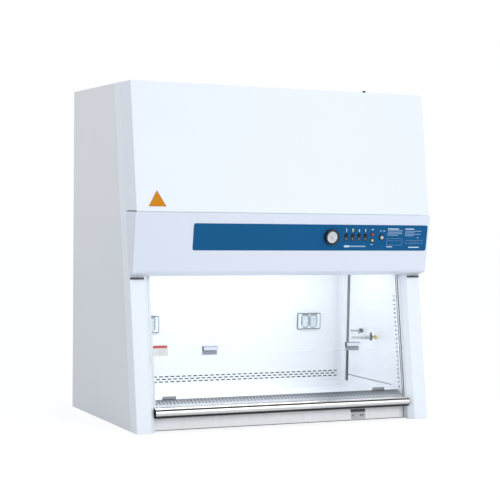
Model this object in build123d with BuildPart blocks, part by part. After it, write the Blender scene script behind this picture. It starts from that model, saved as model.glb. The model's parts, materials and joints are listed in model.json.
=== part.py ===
from build123d import *
import os
from math import atan2, cos, degrees, radians, sin, tan

# Bench-top biological safety cabinet: a painted steel body whose whole front leans back,
# a hinged control fascia, a sliding glass sash on counterweights, and a stainless work
# chamber with slotted walls, a dished tray and a perforated front sill.
# Millimetres. +X is to the right, +Y to the back, +Z up. The origin is under the middle
# of the base. Heights are measured from the surface that the cabinet stands on.

# ---- Whole cabinet
width = 1340.0              # over the control fascia, the widest piece
depth = 824.0               # from the toe of the front posts to the rear flanges
height = 1386.0             # to the top panel
front_lean = 9.53           # degrees that the front leans back
sheet = 2.0                 # painted body sheet
liner = 2.0                 # stainless chamber sheet
fascia_wrap = 3.0           # how far the fascia stands out past each body side

# ---- Front posts and body panels
strip_depth = 71.0          # painted strip on the side, behind the front corner
bevel_width = 22.0          # slanted face inside each post
bevel_depth = 21.0
return_gap = 3.0            # chamber wall stands in front of the post's inner return
wall_set_back = 54.5        # front edge of the chamber walls behind the front face
wall_flange = 20.0
seam = 0.8
rear_flange = 22.0
return_below_top = 156.0    # the posts' inner returns stop here, below the pulleys
bend_radius = 1.5           # inside every fold of the body sheets

# ---- Upper cover and control fascia
cover_reach = 115.0         # cover stands this far in front of the leaning front face
cover_bottom = 877.0
cover_flange = 25.0
cover_lip = 20.0
hinge_radius = 2.0
fascia_top = 873.0
fascia_bottom = 617.0
fascia_knee = 632.0         # where the face turns under
fascia_proud = 5.0          # fascia face in front of the cover face at the crease
fascia_knee_reach = 48.0    # knee in front of the leaning front face
fascia_rear_gap = 3.0
knee_radius = 14.0

# ---- Work chamber
side_space = 90.0           # from the chamber wall to the outside, at each side
chamber_top = 716.0
rear_space = 209.0          # from the chamber's back wall to the outside
back_wall_bottom = 62.0
corner_slot_near = 37.0     # dark corner strip: distances in front of the back wall
corner_slot_far = 63.0
tray_floor = 70.0
tray_rim = 98.5
tray_lip = 8.0
tray_clearance = 0.6
tray_set_back = 104.0       # tray's front edge behind the toe of the posts
base_sheet = 2.0

# ---- Slots in the chamber walls
back_slot = (17.5, 5.0)
back_pitch = 27.3
back_slot_margin = 60.0     # plain wall left in all beside the rows
back_row_heights = (143.5, 132.0, 120.5)
side_slot = (15.0, 5.0)
side_row_height = 131.0
side_row_pitch = 25.3
side_row_margin = 90.0
corner_plain = 2.0          # from the corner strip to the middle of the first slot
column_slot = (13.0, 5.5)
column_pitch = 18.5
column_first = 131.7
column_last = 525.0
column_set_back = 19.5      # column's middle behind the wall's front edge

# ---- Front sill
nose_radius = 21.0
nose_set_back = 10.0        # behind the toe of the posts
nose_top = 96.0
nose_sheet = 2.0
grille_set_back = 66.0
grille_depth = 50.0
grille_gap = 0.3
grille_rear_z = 118.0
grille_sheet = 2.0
grille_slot = (13.0, 3.5)
grille_margin = 30.0
grille_pitch = 15.6
tab_width = 59.0
tab_height = 11.0
tab_from_wall = 93.0
sill_top = 62.0
sill_bottom = 3.0
sill_seam_from_wall = 20.0
support_width = 40.0
support_from_wall = 150.0

# ---- Sash, rails and counterweights
glass_thickness = 6.0
glass_side_gap = 3.0        # between the glass edge and the chamber wall's plane
glass_rise = 583.0          # height that the glass covers
sash_bottom = 298.0         # lower edge of the glass as shown
rail_set_back = 21.5        # front lip of the rail behind the front face
rail_lip = 9.0
rail_sheet = 1.6
rail_bottom = 97.0
rail_below_top = 186.0
sash_drop = 202.0           # travel down to the sill and up to the stop
sash_lift = 250.0
sash_gap = 0.4              # running clearance between glass and rail lips
handle_from_edge = 248.0
handle_size = (64.0, 36.0)
handle_reach = 18.0
handle_sheet = 2.0
clamp_from_edge = 25.0
clamp_size = (28.0, 40.0)
weight_side = 36.0
weight_length = 490.0
guide_sheet = 2.0
guide_lip = 18.0
guide_below_top = 130.0
guide_spare = 10.0          # guide left below the weights' lowest place
weight_gap = 0.4
pulley_radius = 36.5
pulley_width = 12.0
pulley_below_top = 68.0
axle_radius = 5.0
axle_gap = 0.08
bracket_sheet = 3.0

# ---- Air system above the chamber
filter_from_wall = 25.0
filter_set_back = 207.0
filter_rear_gap = 8.0
supply_height = 92.0
filter_frame = 20.0
media_inset = 8.0
pleat_depth = 12.0
plenum_set_back = 242.0
deck_below_top = 98.0       # deck that carries the exhaust filter
exhaust_x = 300.0
exhaust_length = 240.0
exhaust_rear_gap = 15.0
guard_seat = 8.0            # the exhaust guard lies on the filter's frame
guard_gap = 0.4
blower_below_deck = 278.0
blower_radius = 155.0
blower_depth = 140.0
inlet_radius = 95.0
impeller_radius = 118.0
impeller_depth = 96.0
blade_count = 20
motor_radius = 58.0
motor_depth = 66.0
shaft_radius = 8.0
shaft_length = 42.0
tube_radius = 13.0
tube_from_wall = 132.5
tube_cap = 20.0
lamp_set_back = 262.0
lamp_drop = 26.0
uv_drop = 48.0
uv_reach = 33.0
holder_thickness = 14.0

# ---- Controls on the fascia: across from its right end, and up the face from control_z
control_z = 776.0
label_from_left = 247.5
label_from_right = 7.5
label_bottom = -54.5
label_top = 54.5
label_thickness = 1.0
label_corner = 9.0
gauge_from_right = 472.0
gauge_v = 3.2
gauge_radius = 32.5
gauge_height = 15.0
dial_radius = 24.5
rocker_from_right = 401.0
rocker_pitch = 30.3
rocker_v = 2.0
rocker_size = (12.0, 26.0)
rocker_tilt = 8.0
rocker_rim = 1.6
lamp_from_right = 276.5
lamp_v = (14.5, -10.6)
lamp_radius = 8.0
key_from_right = 231.0
key_v = 2.0
key_ring_radius = 13.0
key_core_radius = 7.6

# ---- Services
outlet_from_wall = 180.0
outlet_z = 377.0
outlet_size = (118.0, 75.0, 6.0)
flap_size = (40.0, 62.0, 2.4)
flap_spread = 21.0
flap_dome = 6.0
flap_gap = 0.4
tap_front_set_back = 306.0  # behind the toe of the posts
tap_front_z = 327.0
tap_rear_set_back = 425.0
tap_rear_z = 346.0
latch_z = 608.5
gland_from_right = 280.0
gland_set_back = 13.0       # behind the cover's front edge

# ---- Derived places
front_y = -depth / 2
rear_y = depth / 2
body_half = width / 2 - fascia_wrap
side_top = height - sheet
chamber_half = width / 2 - side_space
glass_half = chamber_half - glass_side_gap
back_wall_y = rear_y - rear_space
rise = tan(radians(front_lean))
lean_dir = Vector(0, rise, 1)
front_normal = Vector(0, -cos(radians(front_lean)), sin(radians(front_lean)))
return_x = chamber_half + return_gap
face_inner = return_x + bevel_width
filter_bottom = chamber_top + liner
plenum_bottom = filter_bottom + supply_height
filter_half = chamber_half - filter_from_wall
filter_front = front_y + filter_set_back
filter_back = back_wall_y - filter_rear_gap
plenum_front = front_y + plenum_set_back
deck_z = height - deck_below_top
exhaust_back = filter_back - exhaust_rear_gap
exhaust_front = exhaust_back - exhaust_length
blower_z = deck_z - blower_below_deck
tray_front = front_y + tray_set_back
nose_front = front_y + nose_set_back
grille_front_y = front_y + grille_set_back
grille_rear_y = grille_front_y + grille_depth
pulley_z = height - pulley_below_top
guide_top = height - guide_below_top
weight_bottom = guide_top - sash_drop - weight_length - 2
guide_bottom = weight_bottom - sash_lift - guide_spare
tube_length = 2 * (chamber_half - tube_from_wall)
lamp_y = front_y + lamp_set_back
support_x = chamber_half - support_from_wall
outlet_x = chamber_half - outlet_from_wall
tap_front_at = (front_y + tap_front_set_back, tap_front_z)
tap_rear_at = (front_y + tap_rear_set_back, tap_rear_z)
handle_x = glass_half - handle_from_edge
clamp_x = glass_half - clamp_from_edge
latch_x = (face_inner + body_half) / 2
fascia_end = width / 2
gauge_at = (fascia_end - gauge_from_right, gauge_v)
rocker_xs = [fascia_end - rocker_from_right + i * rocker_pitch for i in range(4)]
lamp_x = fascia_end - lamp_from_right
key_at = (fascia_end - key_from_right, key_v)


def front_at(z):
    """Y of the leaning front face at height z."""
    return front_y + rise * z


def lean_length(z0, z1):
    """Length up the lean between two heights."""
    return (z1 - z0) * lean_dir.length


def leaning_plane(z):
    """Level plane at height z, with its Y measured back from the leaning front face."""
    return Plane(origin=(0, front_at(z), z))


def write(builder, name):
    """Label one finished piece and write its file."""
    builder.part.label = name
    export_step(builder.part, f"parts/{name}.step")
    size = builder.part.bounding_box().size
    print(f"{name:22} {len(builder.part.solids())} solid(s)  {size.X:7.1f} {size.Y:7.1f} {size.Z:7.1f}")


def write_pair(left, name):
    """Write a piece for the left side and its mirror image for the right."""
    write(left, name + "_left")
    with BuildPart() as right:
        mirror(left.part, about=Plane.YZ)
    write(right, name + "_right")


def bent_sheet(points, thickness):
    """Section of a sheet bent along points, thickened to the left of the path."""
    path = [Vector(*point) for point in points]
    runs = [(end - start).normalized() for start, end in zip(path, path[1:])]
    normals = [Vector(-run.Y, run.X) for run in runs]
    far_side = []
    for i, point in enumerate(path):
        before, after = normals[max(i - 1, 0)], normals[min(i, len(normals) - 1)]
        far_side.append(point + (before + after) * (thickness / (1 + before.dot(after))))
    with BuildSketch() as section:
        with BuildLine():
            Polyline(*path, *reversed(far_side), close=True)
        make_face()
        for i in range(1, len(path) - 1):
            far_is_inside = runs[i - 1].cross(runs[i]).Z * thickness > 0
            inside, outside = (far_side[i], path[i]) if far_is_inside else (path[i], far_side[i])
            fillet(section.vertices().sort_by_distance(inside)[0], bend_radius)
            fillet(section.vertices().sort_by_distance(outside)[0], bend_radius + abs(thickness))
    return section.sketch


# ---- Base pan with the tray's bearers
base_front = front_at(0) + wall_set_back + sheet
with BuildPart() as base_pan:
    with BuildSketch(Plane.XY):
        with Locations((0, (base_front + rear_y - sheet) / 2)):
            Rectangle(2 * (body_half - sheet), rear_y - sheet - base_front)
    extrude(amount=base_sheet)
    bearer_height = tray_floor - liner - base_sheet
    with BuildSketch(Plane.XZ.offset(-(tray_front + 20))):
        for x in (-support_x, 0, support_x):
            with Locations((x, base_sheet + bearer_height / 2)):
                Rectangle(support_width, bearer_height)
            with Locations((x, base_sheet + (bearer_height - sheet) / 2)):
                Rectangle(support_width - 2 * sheet, bearer_height - sheet, mode=Mode.SUBTRACT)
    extrude(amount=-(back_wall_y - 30 - tray_front))
write(base_pan, "base_pan")

# ---- Body panels
with BuildPart() as side_panel:
    with BuildSketch(Plane.YZ.offset(-body_half)):
        with BuildLine():
            Polyline(
                (front_at(0) + strip_depth + seam, 0),
                (rear_y, 0),
                (rear_y, side_top),
                (front_at(side_top) + strip_depth + seam, side_top),
                close=True,
            )
        make_face()
    extrude(amount=sheet)
    with BuildSketch(Plane.XY):
        with Locations((-body_half + sheet, rear_y - sheet)):
            Rectangle(rear_flange, sheet, align=(Align.MIN, Align.MIN))
    extrude(amount=side_top)
write_pair(side_panel, "side_panel")

with BuildPart() as rear_panel:
    with BuildSketch(Plane.XZ.offset(-(rear_y - 2 * sheet))):
        with Locations((0, (base_sheet + side_top) / 2)):
            Rectangle(2 * (body_half - sheet), side_top - base_sheet)
    extrude(amount=-sheet)
write(rear_panel, "rear_panel")

# ---- Top panel with the exhaust opening and the pulley brackets
pulley_x = (glass_half - 5 + body_half - sheet - guide_sheet - weight_gap - weight_side / 2) / 2
pulley_y = front_at(pulley_z) + rail_set_back + rail_sheet + glass_thickness / 2
cheek_gap = pulley_width / 2 + 0.5
with BuildPart() as top_panel:
    with BuildSketch(Plane.XY.offset(side_top)):
        with Locations((0, (front_at(side_top) + rear_y) / 2)):
            Rectangle(2 * body_half, rear_y - front_at(side_top))
        with Locations((0, (exhaust_front + exhaust_back) / 2)):
            Rectangle(
                2 * (exhaust_x - guard_seat),
                exhaust_back - exhaust_front - 2 * guard_seat,
                mode=Mode.SUBTRACT,
            )
    extrude(amount=sheet)
    for side in (-1, 1):
        for cheek in (-1, 1):
            cheek_y = pulley_y + cheek * (cheek_gap + bracket_sheet / 2)
            with BuildSketch(Plane.XZ.offset(-cheek_y)):
                with BuildLine():
                    Polyline(
                        (side * pulley_x - 18, side_top),
                        (side * pulley_x + 18, side_top),
                        (side * pulley_x + 10, pulley_z - 9),
                        (side * pulley_x - 10, pulley_z - 9),
                        close=True,
                    )
                make_face()
            extrude(amount=bracket_sheet / 2, both=True)
        with BuildSketch(Plane.XZ.offset(-pulley_y)):
            with Locations((side * pulley_x, pulley_z)):
                Circle(axle_radius)
        extrude(amount=cheek_gap + bracket_sheet, both=True)
write(top_panel, "top_panel")

with BuildPart() as exhaust_guard:
    guard_width = 2 * (exhaust_x - guard_seat - guard_gap)
    guard_depth = exhaust_back - exhaust_front - 2 * (guard_seat + guard_gap)
    with BuildSketch(Plane.XY.offset(side_top)):
        with Locations((0, (exhaust_front + exhaust_back) / 2)):
            Rectangle(guard_width, guard_depth)
            with GridLocations(50, 22, 10, 8):
                Rectangle(38, 10, mode=Mode.SUBTRACT)
    extrude(amount=sheet)
write(exhaust_guard, "exhaust_guard")

# ---- Front posts: side strip, face, slanted face and inner return, folded from one sheet
with BuildPart() as front_post:
    with BuildSketch(leaning_plane(0)):
        folds = [
            (-return_x - sheet, wall_set_back),
            (-return_x - sheet, bevel_depth + sheet / 2),
            (-face_inner - sheet / 2, sheet),
            (-body_half + sheet, sheet),
            (-body_half + sheet, strip_depth),
        ]
        add(bent_sheet(folds, sheet))
    extrude(amount=lean_length(0, side_top), dir=lean_dir)
    return_top = height - return_below_top
    with BuildSketch(leaning_plane(return_top)):
        with Locations((-face_inner - bend_radius, -5)):
            Rectangle(2 * bevel_width, wall_set_back + 10, align=(Align.MIN, Align.MIN))
    extrude(amount=lean_length(return_top, height), dir=lean_dir, mode=Mode.SUBTRACT)
write_pair(front_post, "front_post")

# ---- Upper cover with the hinge barrel along its lower edge
crease_y = front_at(cover_bottom) - cover_reach
hinge_y = crease_y + hinge_radius / 2
hinge_z = cover_bottom - 0.75 * hinge_radius
with BuildPart() as front_cover:
    inner = body_half - sheet
    with BuildSketch(leaning_plane(cover_bottom)):
        folds = [
            (-inner + cover_flange, -sheet),
            (-inner, -sheet),
            (-inner, sheet - cover_reach),
            (inner, sheet - cover_reach),
            (inner, -sheet),
            (inner - cover_flange, -sheet),
        ]
        add(bent_sheet(folds, -sheet))
    extrude(amount=lean_length(cover_bottom, side_top), dir=lean_dir)
    with BuildSketch(leaning_plane(side_top)):
        with Locations((0, (-cover_reach - seam) / 2)):
            top_sheet = Rectangle(2 * body_half, cover_reach - seam)
        fillet(top_sheet.vertices().group_by(Axis.Y)[0], bend_radius + sheet)
    extrude(amount=lean_length(side_top, height), dir=lean_dir)
    with BuildSketch(leaning_plane(cover_bottom)):
        with Locations((0, -cover_reach + sheet)):
            Rectangle(2 * inner, cover_lip, align=(Align.CENTER, Align.MIN))
    extrude(amount=lean_length(cover_bottom, cover_bottom + sheet), dir=lean_dir)
    with BuildSketch(Plane.YZ.offset(-inner)):
        with Locations((hinge_y, hinge_z)):
            Circle(hinge_radius)
    extrude(amount=2 * inner)
write(front_cover, "front_cover")

gland_y = front_at(height) - cover_reach + gland_set_back
with BuildPart() as power_gland:
    with BuildSketch(Plane.XY.offset(height)):
        with Locations((width / 2 - gland_from_right, gland_y)):
            RegularPolygon(8.5, 6)
    extrude(amount=3.5)
    with BuildSketch(Plane.XY.offset(height + 3.5)):
        with Locations((width / 2 - gland_from_right, gland_y)):
            Circle(6.5)
    extrude(amount=4.5, taper=12)
write(power_gland, "power_gland")

# ---- Stainless chamber walls
slot_rear = back_wall_y - corner_slot_near
slot_front = back_wall_y - corner_slot_far


def wall_front_at(z):
    """Y of the chamber walls' leaning front edge."""
    return front_at(z) + wall_set_back


side_row_run = slot_front - wall_front_at(side_row_height) - side_row_margin
side_row_count = int(side_row_run / side_row_pitch) + 1
column_count = int((column_last - column_first) / column_pitch) + 1
back_columns = int((2 * chamber_half - back_slot_margin) / back_pitch) + 1
with BuildPart() as inner_wall:
    with BuildSketch(Plane.YZ.offset(-chamber_half)):
        with BuildLine():
            Polyline(
                (wall_front_at(base_sheet), base_sheet),
                (back_wall_y + liner, base_sheet),
                (back_wall_y + liner, chamber_top),
                (wall_front_at(chamber_top), chamber_top),
                close=True,
            )
        make_face()
        with Locations(((slot_front + slot_rear) / 2, (tray_rim + chamber_top) / 2)):
            Rectangle(slot_rear - slot_front, chamber_top - tray_rim - 2 * liner, mode=Mode.SUBTRACT)
        row_middle = slot_front - corner_plain - side_row_pitch * (side_row_count - 1) / 2
        with Locations((row_middle, side_row_height)):
            with GridLocations(side_row_pitch, 1, side_row_count, 1):
                Rectangle(*side_slot, mode=Mode.SUBTRACT)
        for i in range(column_count):
            z = column_first + i * column_pitch
            with Locations((wall_front_at(z) + column_set_back, z)):
                Rectangle(*column_slot, mode=Mode.SUBTRACT)
    extrude(amount=-liner)
    with BuildSketch(leaning_plane(base_sheet)):
        with Locations((-chamber_half, wall_set_back)):
            Rectangle(wall_flange, liner, align=(Align.MAX, Align.MIN))
    extrude(amount=lean_length(base_sheet, chamber_top), dir=lean_dir)
write_pair(inner_wall, "inner_wall")

with BuildPart() as corner_seals:
    seal_height = chamber_top - tray_rim - 2 * liner
    for side in (-1, 1):
        with BuildSketch(Plane.XY.offset(tray_rim + liner)):
            with Locations((side * (chamber_half + 4), (slot_front + slot_rear) / 2)):
                Rectangle(6, slot_rear - slot_front)
            with Locations((side * (chamber_half + 1), (slot_front + slot_rear) / 2)):
                Rectangle(2, 5)
        extrude(amount=seal_height)
write(corner_seals, "corner_seals")

with BuildPart() as inner_back_wall:
    with BuildSketch(Plane.XZ.offset(-back_wall_y)):
        with Locations((0, (back_wall_bottom + chamber_top) / 2)):
            Rectangle(2 * chamber_half, chamber_top - back_wall_bottom)
        for row, z in enumerate(back_row_heights):
            with Locations((0, z)):
                with GridLocations(back_pitch, 1, back_columns - row % 2, 1):
                    Rectangle(*back_slot, mode=Mode.SUBTRACT)
    extrude(amount=-liner)
write(inner_back_wall, "inner_back_wall")

# ---- Dished work tray, lifted out of the chamber for cleaning
tray_half = chamber_half - tray_clearance
tray_back = back_wall_y - tray_clearance
with BuildPart() as work_tray:
    with BuildSketch(Plane.XY.offset(tray_floor - liner)):
        with Locations((0, (tray_front + tray_back) / 2)):
            Rectangle(2 * tray_half, tray_back - tray_front)
    extrude(amount=tray_rim - tray_floor + liner)
    with BuildSketch(Plane.XY.offset(tray_floor)):
        with Locations((0, (tray_front - 20 + tray_back - liner) / 2)):
            Rectangle(2 * (tray_half - liner), tray_back - liner - tray_front + 20)
    extrude(amount=tray_rim, mode=Mode.SUBTRACT)
    with BuildSketch(Plane.XY.offset(tray_floor)):
        with Locations((0, tray_front + liner / 2)):
            Rectangle(2 * (tray_half - liner), liner)
    extrude(amount=tray_lip)
write(work_tray, "work_tray")

# ---- Front sill: panel below, rounded nose, perforated grille above
sill_rear = wall_set_back + sheet
with BuildPart() as sill_panel:
    with BuildSketch(leaning_plane(sill_bottom)):
        with Locations((0, wall_set_back)):
            Rectangle(2 * chamber_half, sheet, align=(Align.CENTER, Align.MIN))
        for side in (-1, 1):
            with Locations((side * (chamber_half - sill_seam_from_wall), wall_set_back)):
                Rectangle(1.5, 1.0, align=(Align.CENTER, Align.MIN), mode=Mode.SUBTRACT)
    extrude(amount=lean_length(sill_bottom, sill_top), dir=lean_dir)
write(sill_panel, "sill_panel")

nose_z = nose_top - nose_radius
nose_y = nose_front + nose_radius
grille_half = tray_half - liner - grille_gap
grille_slope = degrees(atan2(grille_rear_z - nose_top, grille_rear_y - grille_front_y))
grille_lead = grille_sheet * sin(radians(grille_slope))
with BuildPart() as airfoil_nose:
    with BuildSketch(Plane.YZ.offset(-(return_x - 0.5))):
        with BuildLine():
            l1 = Line((grille_front_y - grille_lead - grille_gap, nose_top), (nose_y, nose_top))
            l2 = ThreePointArc(l1 @ 1, (nose_front, nose_z), (nose_y, nose_z - nose_radius))
            l3 = Line(l2 @ 1, (front_at(nose_z - nose_radius) + wall_set_back, nose_z - nose_radius))
            offset(amount=nose_sheet, side=Side.LEFT)
        make_face()
    extrude(amount=2 * (return_x - 0.5))
write(airfoil_nose, "airfoil_nose")

with BuildPart() as front_grille:
    with BuildSketch(Plane.YZ.offset(-grille_half)):
        folds = [
            (grille_front_y, nose_top - grille_sheet),
            (grille_rear_y - grille_sheet, grille_rear_z - grille_sheet),
            (grille_rear_y - grille_sheet, tray_floor),
        ]
        add(bent_sheet(folds, grille_sheet))
    extrude(amount=2 * grille_half)
    ramp = Plane(
        origin=(0, (grille_front_y + grille_rear_y) / 2, (nose_top + grille_rear_z) / 2),
        x_dir=(1, 0, 0),
        z_dir=(0, -sin(radians(grille_slope)), cos(radians(grille_slope))),
    )
    with BuildSketch(ramp):
        with GridLocations(grille_pitch, 16, int((2 * grille_half - grille_margin) / grille_pitch), 2):
            Rectangle(grille_slot[1], grille_slot[0])
    extrude(amount=6, both=True, mode=Mode.SUBTRACT)
    with BuildSketch(Plane.XZ.offset(-(grille_rear_y - grille_sheet))):
        tab_x = chamber_half - tab_from_wall
        with Locations((-tab_x, grille_rear_z), (tab_x, grille_rear_z)):
            Rectangle(tab_width, 2 * tab_height)
    extrude(amount=-grille_sheet)
write(front_grille, "front_grille")

# ---- Ceiling, filters, plenum and blower
diffuser_front = wall_front_at(chamber_top)
with BuildPart() as ceiling_diffuser:
    with BuildSketch(Plane.XY.offset(chamber_top)):
        with Locations((0, (diffuser_front + back_wall_y + liner) / 2)):
            Rectangle(2 * (chamber_half + liner), back_wall_y + liner - diffuser_front)
        with Locations((0, (filter_front + filter_back) / 2)):
            with GridLocations(2 * filter_half / 10.5, (filter_back - filter_front) / 9, 10, 8):
                Rectangle(90, 12, mode=Mode.SUBTRACT)
    extrude(amount=liner)
write(ceiling_diffuser, "ceiling_diffuser")


def filter_cell(bottom, top, half, front, back):
    """Filter cell: a rigid frame with the pleated pack set inside it."""
    middle = (front + back) / 2
    inner_size = (2 * (half - filter_frame), back - front - 2 * filter_frame)
    pleats = int(inner_size[0] // 60)
    with BuildPart() as cell:
        with BuildSketch(Plane.XY.offset(bottom)):
            with Locations((0, middle)):
                Rectangle(2 * half, back - front)
        extrude(amount=top - bottom)
        for level, direction in ((bottom, 1), (top, -1)):
            with BuildSketch(Plane.XY.offset(level)):
                with Locations((0, middle)):
                    Rectangle(*inner_size)
            extrude(amount=direction * media_inset, mode=Mode.SUBTRACT)
            # Pleats, cut as grooves into this face of the pack
            with BuildSketch(Plane.XY.offset(level + direction * media_inset)):
                with Locations((0, middle)):
                    with GridLocations(inner_size[0] / pleats, 1, pleats, 1):
                        Rectangle(inner_size[0] / pleats / 2, inner_size[1])
            extrude(amount=direction * pleat_depth, mode=Mode.SUBTRACT)
    return cell


supply_filter = filter_cell(filter_bottom, plenum_bottom, filter_half, filter_front, filter_back)
write(supply_filter, "supply_filter")
exhaust_filter = filter_cell(deck_z + sheet, side_top, exhaust_x, exhaust_front, exhaust_back)
write(exhaust_filter, "exhaust_filter")

plenum_middle = (plenum_front + filter_back) / 2
with BuildPart() as plenum_box:
    with BuildSketch(Plane.XY.offset(plenum_bottom)):
        with Locations((0, plenum_middle)):
            Rectangle(2 * filter_half, filter_back - plenum_front)
            Rectangle(2 * (filter_half - sheet), filter_back - plenum_front - 2 * sheet, mode=Mode.SUBTRACT)
    extrude(amount=deck_z - plenum_bottom)
    with BuildSketch(Plane.XY.offset(deck_z)):
        with Locations((0, (plenum_front + 40 + rear_y - 2 * sheet) / 2)):
            Rectangle(2 * (body_half - sheet), rear_y - 2 * sheet - plenum_front - 40)
        with Locations((0, (plenum_front + 20))):
            Rectangle(2 * filter_half, 40)
        with Locations((0, (exhaust_front + exhaust_back) / 2)):
            Rectangle(
                2 * (exhaust_x - filter_frame),
                exhaust_back - exhaust_front - 2 * filter_frame,
                mode=Mode.SUBTRACT,
            )
    extrude(amount=sheet)
    with BuildSketch(Plane.XZ.offset(-(filter_back + 5))):
        with Locations((0, blower_z)):
            Circle(inlet_radius)
    extrude(amount=20, mode=Mode.SUBTRACT)
write(plenum_box, "plenum_box")

blower_back = filter_back - sheet
with BuildPart() as blower_housing:
    with BuildSketch(Plane.XZ.offset(-blower_back)):
        with Locations((0, blower_z)):
            Circle(blower_radius)
        with Locations((blower_radius / 2 + 10, blower_z - blower_radius / 2 - 20)):
            Rectangle(blower_radius - 20, blower_radius + 40)
    extrude(amount=blower_depth)
    outlet_face = blower_housing.faces().filter_by(Axis.Z).sort_by(Axis.Z)[0]
    offset(amount=-sheet, openings=outlet_face)
    with BuildSketch(Plane.XZ.offset(-blower_back - 1)):
        with Locations((0, blower_z)):
            Circle(inlet_radius)
    extrude(amount=sheet + 2, mode=Mode.SUBTRACT)
    # Motor on the front cheek, with its shaft through to the wheel
    with BuildSketch(Plane.XZ.offset(-(blower_back - blower_depth))):
        with Locations((0, blower_z)):
            Circle(motor_radius)
    extrude(amount=motor_depth)
    with BuildSketch(Plane.XZ.offset(-(blower_back - blower_depth + sheet))):
        with Locations((0, blower_z)):
            Circle(shaft_radius)
    extrude(amount=-shaft_length)
write(blower_housing, "blower_housing")

wheel_front = blower_back - blower_depth + sheet + 12
with BuildPart() as impeller:
    with BuildSketch(Plane.XZ.offset(-wheel_front)):
        with Locations((0, blower_z)):
            Circle(impeller_radius)
            Circle(shaft_radius + axle_gap, mode=Mode.SUBTRACT)
    extrude(amount=-3)
    with BuildSketch(Plane.XZ.offset(-(wheel_front + 3))):
        with Locations((0, blower_z)):
            Circle(2.2 * shaft_radius)
            Circle(shaft_radius + axle_gap, mode=Mode.SUBTRACT)
    extrude(amount=-22)
    with BuildSketch(Plane.XZ.offset(-(wheel_front + 3))):
        with Locations((0, blower_z)):
            with PolarLocations(impeller_radius - 10, blade_count):
                Rectangle(14, 2.5, rotation=40)
    extrude(amount=-(impeller_depth - 6))
    with BuildSketch(Plane.XZ.offset(-(wheel_front + impeller_depth - 3))):
        with Locations((0, blower_z)):
            Circle(impeller_radius)
            Circle(impeller_radius - 18, mode=Mode.SUBTRACT)
    extrude(amount=-3)
write(impeller, "impeller")

# ---- Lamps under the ceiling and on the back wall
lamp_z = chamber_top - lamp_drop
uv_y = back_wall_y - uv_reach
uv_z = chamber_top - uv_drop


def straight_tube(y, z):
    """Straight tube with a metal cap at each end."""
    with BuildPart() as tube:
        for start, length, radius in (
            (-tube_length / 2 + tube_cap, tube_length - 2 * tube_cap, tube_radius),
            (-tube_length / 2, tube_cap, tube_radius + 0.5),
            (tube_length / 2 - tube_cap, tube_cap, tube_radius + 0.5),
        ):
            with BuildSketch(Plane.YZ.offset(start)):
                with Locations((y, z)):
                    Circle(radius)
            extrude(amount=length)
    return tube


write(straight_tube(lamp_y, lamp_z), "lamp_tube")
write(straight_tube(uv_y, uv_z), "uv_tube")

with BuildPart() as lamp_holders:
    for side in (-1, 1):
        start = side * (tube_length / 2 + holder_thickness / 2)
        with BuildSketch(Plane.YZ.offset(start)):
            with Locations((lamp_y, lamp_z - tube_radius - 3)):
                Rectangle(34, chamber_top - lamp_z + tube_radius + 3, align=(Align.CENTER, Align.MIN))
            with Locations((uv_y - tube_radius - 3, uv_z)):
                Rectangle(back_wall_y - uv_y + tube_radius + 3, 34, align=(Align.MIN, Align.CENTER))
        extrude(amount=holder_thickness / 2, both=True)
write(lamp_holders, "lamp_holders")

# ---- Sash: glass, pulls and cable clamps
rail_inner = rail_set_back + rail_sheet
glass_front = rail_inner + sash_gap
slant = cos(radians(front_lean))
sash_origin = (0, front_at(sash_bottom) + glass_front, sash_bottom)
sash_plane = Plane(origin=sash_origin, x_dir=(1, 0, 0), z_dir=front_normal)
glass_length = glass_rise / slant
with BuildPart() as sash_glass:
    with BuildSketch(sash_plane):
        with Locations((0, glass_length / 2)):
            Rectangle(2 * glass_half, glass_length)
    extrude(amount=-glass_thickness)
    bottom_edges = sash_glass.edges().filter_by(Axis.X).group_by(Axis.Z)[0]
    chamfer(bottom_edges, 0.8)
write(sash_glass, "sash_glass")


def sash_side_plane(x):
    """Plane across the sash at x: its X points out of the glass, its Y up the lean."""
    return Plane(origin=(x, sash_origin[1], sash_origin[2]), x_dir=front_normal, z_dir=(-1, 0, 0))


with BuildPart() as sash_handles:
    handle_width, handle_height = handle_size
    for x in (-handle_x, handle_x):
        with BuildSketch(sash_side_plane(x + handle_width / 2)):
            folds = [
                (handle_sheet, 0),
                (handle_sheet, handle_height - handle_sheet),
                (handle_reach - handle_sheet, handle_height - handle_sheet - 4),
                (handle_reach - handle_sheet + 3, handle_height / 2 - 1),
            ]
            add(bent_sheet(folds, handle_sheet))
        extrude(amount=handle_width)
write(sash_handles, "sash_handles")

with BuildPart() as sash_clamps:
    clamp_width, clamp_height = clamp_size
    for x in (-clamp_x, clamp_x):
        with BuildSketch(sash_side_plane(x + clamp_width / 2)):
            with Locations((-glass_thickness / 2, glass_length - clamp_height / 2 + 6)):
                Rectangle(glass_thickness + 6, clamp_height)
            with Locations((-glass_thickness / 2, glass_length - clamp_height / 2)):
                Rectangle(glass_thickness, clamp_height, mode=Mode.SUBTRACT)
        extrude(amount=clamp_width)
write(sash_clamps, "sash_clamps")

with BuildPart() as guide_rails:
    rail_depth = 2 * rail_sheet + 2 * sash_gap + glass_thickness * lean_dir.length
    for side in (-1, 1):
        with BuildSketch(leaning_plane(rail_bottom)):
            with Locations((side * (return_x - rail_lip / 2), rail_set_back + rail_depth / 2)):
                Rectangle(rail_lip, rail_depth)
            channel_x = return_x - rail_sheet - rail_lip / 2
            with Locations((side * channel_x, rail_set_back + rail_depth / 2)):
                Rectangle(rail_lip, rail_depth - 2 * rail_sheet, mode=Mode.SUBTRACT)
        extrude(amount=lean_length(rail_bottom, height - rail_below_top), dir=lean_dir)
write(guide_rails, "guide_rails")

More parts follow.
